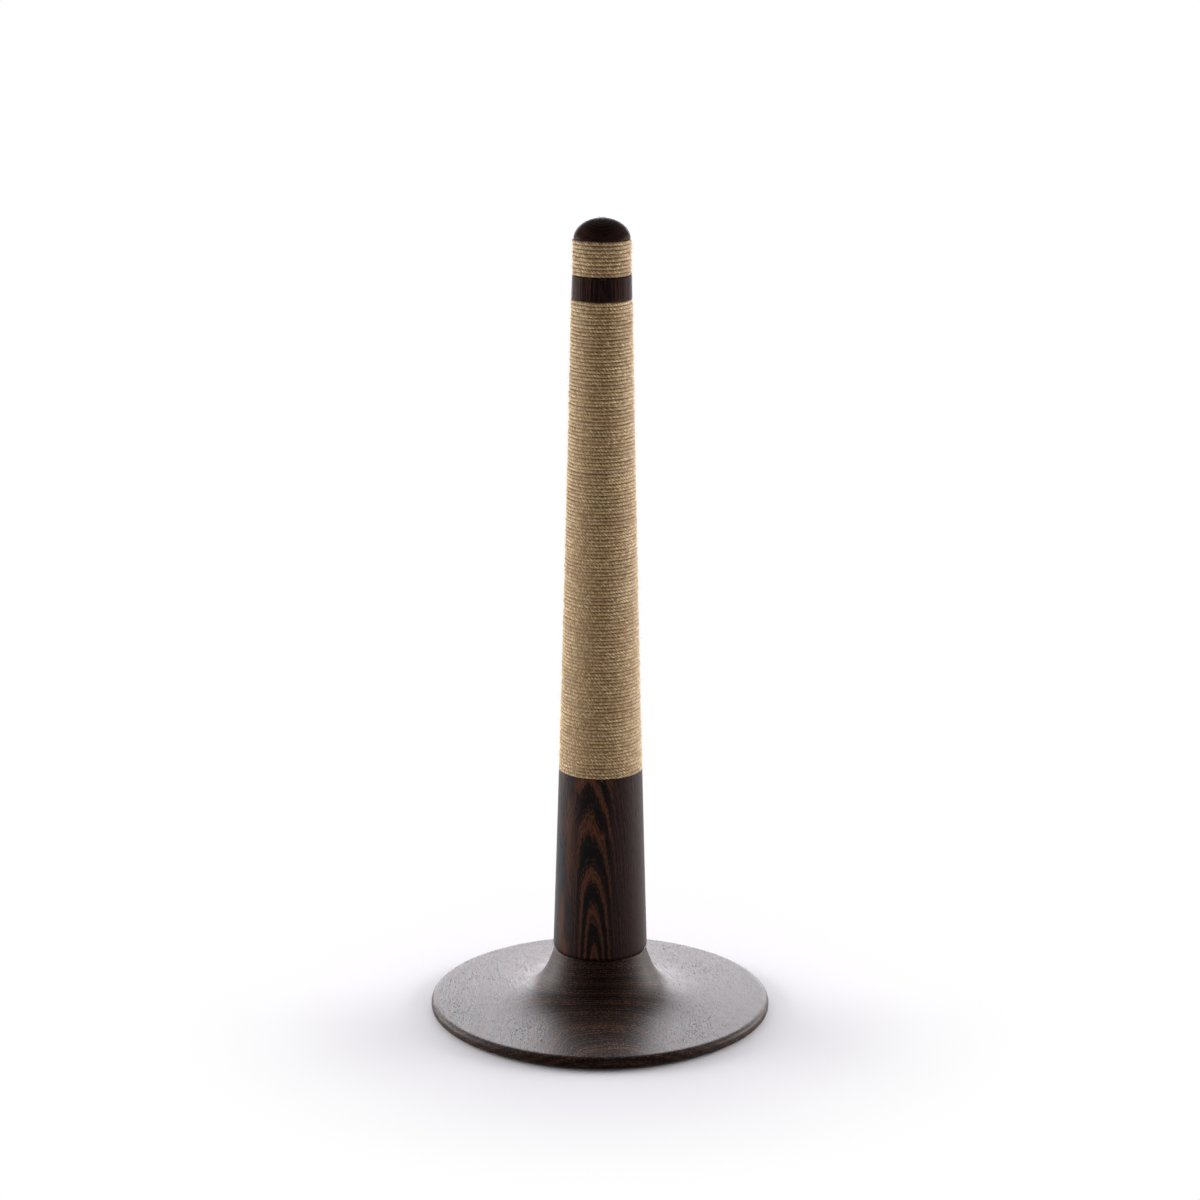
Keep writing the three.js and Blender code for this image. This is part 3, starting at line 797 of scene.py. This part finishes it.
mainSections = windMainBand(np.random.default_rng(11))
upperSections = windUpperBand(np.random.default_rng(12))
print("rope wound,", len(mainSections) + len(upperSections), "sections")


looseFibres = {
    "main": 7000,
    "upper": 560,
    "radius": 0.00005,
    "length": (0.002, 0.009),
    "lift": (0.05, 0.6),
    "spread": 0.45,  # how far up or down a fibre starts
    "curl": 0.35,
    "ends": 40,  # sections at each end of the rope that carry none
    "clear": 0.0001,
}


def addFibres(name, sections, count, surface, chance):
    # P(t) = start + L (t d + t² c): each fibre leaves a strand's crest along the rope and curls off it.
    # Its section is a triangle that narrows to the tip. Surface gives the rope's reach at a height.
    middle = sections.mean(axis=1)
    where = chance.integers(looseFibres["ends"], len(sections) - looseFibres["ends"], count)
    ahead = middle[where + 1] - middle[where - 1]
    ahead /= np.linalg.norm(ahead, axis=1)[:, None]
    outwards = middle[where] * [1, 1, 0]
    outwards /= np.linalg.norm(outwards, axis=1)[:, None]
    slant = chance.uniform(-0.8, 0.8, count)[:, None]
    upwards = np.array([0, 0, 1.0])
    off = outwards * np.cos(slant) + upwards * np.sin(slant)
    start = middle[where] + off * sisalRope["radius"] * 0.9
    way = np.where(chance.random(count) < 0.5, -1, 1)[:, None]
    lift = chance.uniform(*looseFibres["lift"], count)[:, None] ** 1.5
    first = ahead * way + off * lift + upwards * chance.normal(0, looseFibres["spread"], count)[:, None]
    curl = chance.normal(0, looseFibres["curl"], (count, 3)) + off * lift * 0.3 - upwards * 0.1
    size = chance.uniform(*looseFibres["length"], count)[:, None, None]
    rings = 5
    t = np.linspace(0, 1, rings)[None, :, None]
    line = start[:, None] + size * (t * first[:, None] + t * t * curl[:, None])
    reach = np.hypot(line[..., 0], line[..., 1])
    push = np.maximum(1, (surface(line[..., 2]) + looseFibres["clear"]) / reach)  # none runs into the rope
    line[..., :2] *= push[..., None]
    forward = np.gradient(line, axis=1)
    forward /= np.linalg.norm(forward, axis=2)[..., None]
    one = np.cross(forward, [0.3, 0.2, 0.93])  # some direction across the fibre
    one /= np.linalg.norm(one, axis=2)[..., None]
    two = np.cross(forward, one)
    angle = np.radians([0, 120, 240])
    thick = looseFibres["radius"] * (1.15 - t)
    ringPoints = (line[:, :, None] + thick[..., None] * (one[:, :, None] * np.cos(angle)[:, None]
                                                       + two[:, :, None] * np.sin(angle)[:, None]))
    sides = len(angle)
    here = np.arange(sides)
    there = (here + 1) % sides
    fibre = np.arange(count)[:, None] * rings * sides
    low = fibre[:, None] + np.arange(rings - 1)[:, None] * sides
    high = low + sides
    quads = np.stack([low + here, low + there, high + there, high + here], -1).reshape(-1, 4)
    ends = np.vstack([fibre + here[::-1], fibre + (rings - 1) * sides + here])
    return meshPiece(name, ringPoints.reshape(-1, 3), [quads, ends])


def fibreFinish():
    paint = newFinish("looseSisal", roughness=0.7, specular=0.15)
    tone = paint.noise(paint.stretched(paint.objectPlace(), (300, 300, 300)), 1.0)
    paint.feed("Base Color", paint.blend(tone, sisalColours["low"], sisalColours["pale"]))
    return paint


fibrePaint = fibreFinish()
upperSurface = lambda height: np.full_like(height, sisalRope["upperReach"])
mainChance, upperChance = np.random.default_rng(13), np.random.default_rng(14)
mainFibres = addFibres("looseFibres", mainSections, looseFibres["main"], columnRadius, mainChance)
upperFibres = addFibres("upperFibres", upperSections, looseFibres["upper"], upperSurface, upperChance)
finished(mainFibres, fibrePaint, "sisal", "main_winding")
finished(upperFibres, fibrePaint, "sisal", "upper_winding")
print("loose fibres added")


# finishes for the pieces that keep their own shape
def feltFinish():
    paint = newFinish("feltPads", roughness=0.95, specular=0.1)
    wool = paint.noise(paint.stretched(paint.objectPlace(), (900, 900, 900)), 4.0, 0.7)
    tone = paint.rise(wool, 0.35, 0.65)
    paint.feed("Base Color", paint.blend(tone, shade(22, 20, 19), shade(52, 48, 45)))
    paint.bump(wool, 0.6, 0.0006)
    return paint


def steelFinish():
    paint = newFinish("zincSteel", metallic=1.0)
    place = paint.objectPlace()
    brushed = paint.noise(paint.stretched(place, (2500, 2500, 180)), 2.0)
    dull = paint.noise(paint.stretched(place, (120, 120, 120)), 3.0)
    paint.feed("Base Color", paint.blend(dull, shade(150, 151, 153), shade(186, 187, 188)))
    paint.feed("Roughness", brushed * 0.25 + dull * 0.15 + 0.18)
    paint.bump(brushed, 0.15, 0.0002)
    return paint


def paleWoodFinish(name, dark, light, along):
    # streaks that run along one axis, 0 for X to 2 for Z
    paint = newFinish(name, specular=0.3)
    place = paint.objectPlace()
    stretch = tuple(60 if axis == along else 900 for axis in range(3))
    streak = paint.noise(paint.stretched(place, stretch), 3.0, 0.6)
    wide = paint.noise(paint.stretched(place, tuple(part / 7 for part in stretch)), 1.0)
    paint.feed("Base Color", paint.blend(paint.rise(streak * 0.6 + wide * 0.4, 0.35, 0.65), dark, light))
    paint.feed("Roughness", streak * 0.2 + 0.5)
    paint.bump(streak, 0.2, 0.0003)
    return paint


feltPaint = feltFinish()
steelPaint = steelFinish()
corePaint = paleWoodFinish("corePine", shade(170, 124, 76), shade(206, 166, 116), 2)
dowelPaint = paleWoodFinish("beechDowel", shade(186, 146, 104), shade(214, 180, 138), 2)
pinPaint = paleWoodFinish("beechPin", shade(186, 146, 104), shade(214, 180, 138), 0)
keptFinishes = {
    "bolt_washer": steelPaint,
    "spring_washer": steelPaint,
    "base_bolt": steelPaint,
    "post_insert": steelPaint,
    "cap_screw": steelPaint,
    "locating_dowel_1": dowelPaint,
    "locating_dowel_2": dowelPaint,
    "winding_core": corePaint,
    "core_cross_pin": pinPaint,
}
keptFinishes.update({f"foot_pad_{number}": feltPaint for number in range(1, 7)})
for nodeName, paint in keptFinishes.items():
    for materialSlot in nodes[nodeName].material_slots:
        materialSlot.material = paint.owner
print("kept pieces finished")


studio = {
    "floor": shade(251, 250, 254),
    "floorSize": 30.0,
    "plainFrom": 0.19,  # from this radius on the camera and gloss see the floor turn to plain white
    "plainTo": 0.50,
    "backdrop": 1.55,  # light from behind the post
    "front": 0.125,  # light from the front and from overhead
    "backdropFade": (-0.1, 0.5),  # it comes up as a direction turns this far towards the back
    "overhead": 0.25,  # how fast the backdrop fades with height
    "tint": (0.97, 0.955, 1.0, 1.0),  # colour of both
    "panels": {
        # place, aim, width, height, watts, colour, gloss only
        "leftPanel": ((-2.1, 0.7, 0.60), (0, 0, 0.45), 1.6, 1.2, 59, (1.0, 0.99, 0.98), False),
        "rightPanel": ((2.1, 0.7, 0.60), (0, 0, 0.45), 1.6, 1.2, 59, (1.0, 0.99, 0.98), False),
        "backPanel": ((0, 3.0, 1.0), (0, 0, 0.1), 4.0, 1.8, 160, (0.96, 0.94, 1.0), True),
    },
}
white = (1.0, 1.0, 1.0, 1.0)


def addFloor():
    half = studio["floorSize"] / 2
    mesh = bpy.data.meshes.new("studioFloor")
    corners = [(-half, -half, 0), (half, -half, 0), (half, half, 0), (-half, half, 0)]
    mesh.from_pydata(corners, [], [(0, 1, 2, 3)])
    floor = bpy.data.objects.new("studioFloor", mesh)
    bpy.context.scene.collection.objects.link(floor)
    paint = newFinish("studioFloor", roughness=0.9, specular=0.0)
    surface = paint.tree.nodes["Principled BSDF"]
    surface.inputs["Base Color"].default_value = studio["floor"]
    x, y = paint.parts(paint.objectPlace())[:2]
    far = paint.rise((x * x + y * y) ** 0.5, studio["plainFrom"], studio["plainTo"])
    share = far * paint.rays("Camera", "Glossy", "Transmission")
    glow = paint.add("ShaderNodeEmission", {}, {"Color": white, "Strength": 1.0})
    mixed = paint.add("ShaderNodeMixShader", {}, {0: share, 1: Wire(paint, surface.outputs[0]), 2: glow})
    paint.feed("Surface", mixed, "Material Output")
    mesh.materials.append(paint.owner)


def addPanel(name, place, aim, width, height, watts, colour, glossOnly):
    data = bpy.data.lights.new(name, "AREA")
    data.shape, data.size, data.size_y, data.energy = "RECTANGLE", width, height, watts
    data.color = colour
    panel = bpy.data.objects.new(name, data)
    panel.location = place
    panel.rotation_euler = (Vector(aim) - Vector(place)).to_track_quat("-Z", "Y").to_euler()
    panel.visible_camera, panel.visible_diffuse = False, not glossOnly
    bpy.context.scene.collection.objects.link(panel)


def addWorld():
    # the camera and gloss see white all round, and the light comes mostly from behind the post
    paint = Paint(bpy.data.worlds.new("studioWorld"))
    x, y, z = paint.parts(paint.add("ShaderNodeTexCoord", {}, {}, "Generated"))
    behind = paint.rise(y - z * studio["overhead"], *studio["backdropFade"])
    light = behind * (studio["backdrop"] - studio["front"]) + studio["front"]
    plain = paint.rays("Camera", "Glossy", "Transmission")
    paint.feed("Color", paint.blend(plain, studio["tint"], white), "Background")
    paint.feed("Strength", light * (1 - plain) + plain, "Background")
    bpy.context.scene.world = paint.owner


addFloor()
for panelName, panel in studio["panels"].items():
    addPanel(panelName, *panel)
addWorld()
bpy.context.scene.view_settings.view_transform = "Standard"
print("studio lit")
